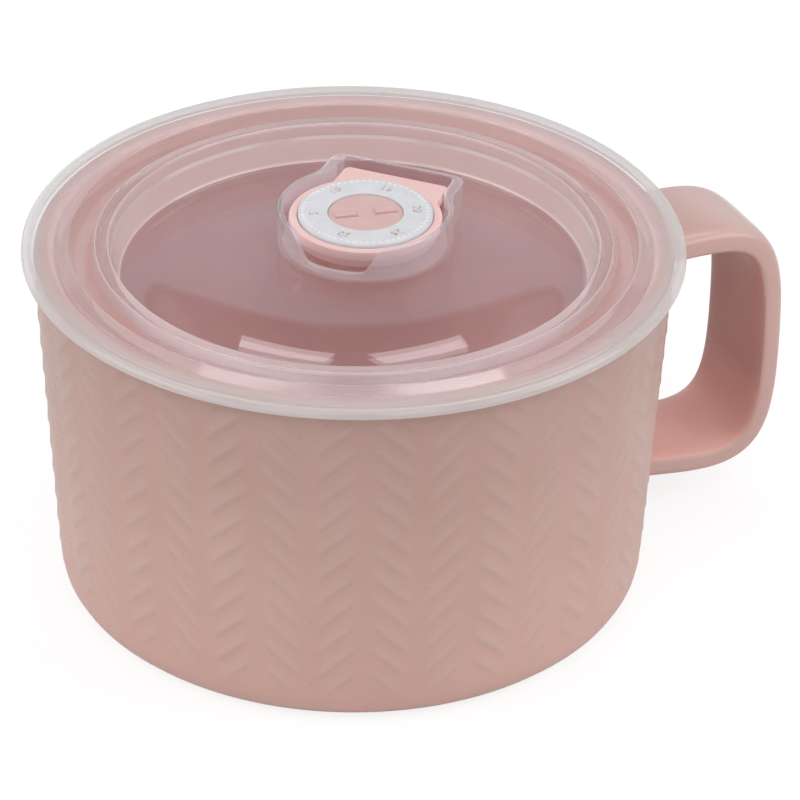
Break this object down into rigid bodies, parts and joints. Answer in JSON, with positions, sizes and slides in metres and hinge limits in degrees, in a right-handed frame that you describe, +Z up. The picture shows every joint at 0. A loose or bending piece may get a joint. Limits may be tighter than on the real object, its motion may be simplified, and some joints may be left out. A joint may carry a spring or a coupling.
{
  "type": "lidded soup mug",
  "caption": "Wide stoneware soup mug with a strap handle and a clear press-in lid; the lid has a lift-up silicone steam vent ringed by a turnable date dial.",
  "frame": {"origin": "on the mug's axis at the table, under the recessed middle of the base", "axes": "+Z up along the mug's axis, +X out through the middle of the handle"},
  "size_m": [0.1698, 0.1398, 0.0808],
  "materials": {
    "stoneware": "matt dusty pink glaze",
    "clear_plastic": "clear, milky at its edges",
    "silicone": "soft matt pink",
    "dial_plastic": "satin white"
  },
  "bodies": {
    "mug": {"mug_body": "stoneware", "handle": "stoneware"},
    "lid": {"lid": "clear_plastic", "plug_tab": "silicone"},
    "vent_plug": {"vent_plug": "silicone"},
    "date_dial": {"date_dial": "dial_plastic"}
  },
  "joints": [
    {"name": "lid_lift", "type": "slide", "parent": "mug", "child": "lid", "axis": [0, 0, 1], "range_m": [0, 0.06]},
    {"name": "vent_hinge", "type": "hinge", "parent": "lid", "child": "vent_plug", "pos_m": [0.01993, 0.02234, 0.0784], "axis": [-0.6782, 0.7349, 0], "range_deg": [0, 95]},
    {"name": "dial_turn", "type": "hinge", "parent": "vent_plug", "child": "date_dial", "pos_m": [0.0081, 0.01142, 0.0785], "axis": [0, 0, 1], "continuous": true}
  ]
}
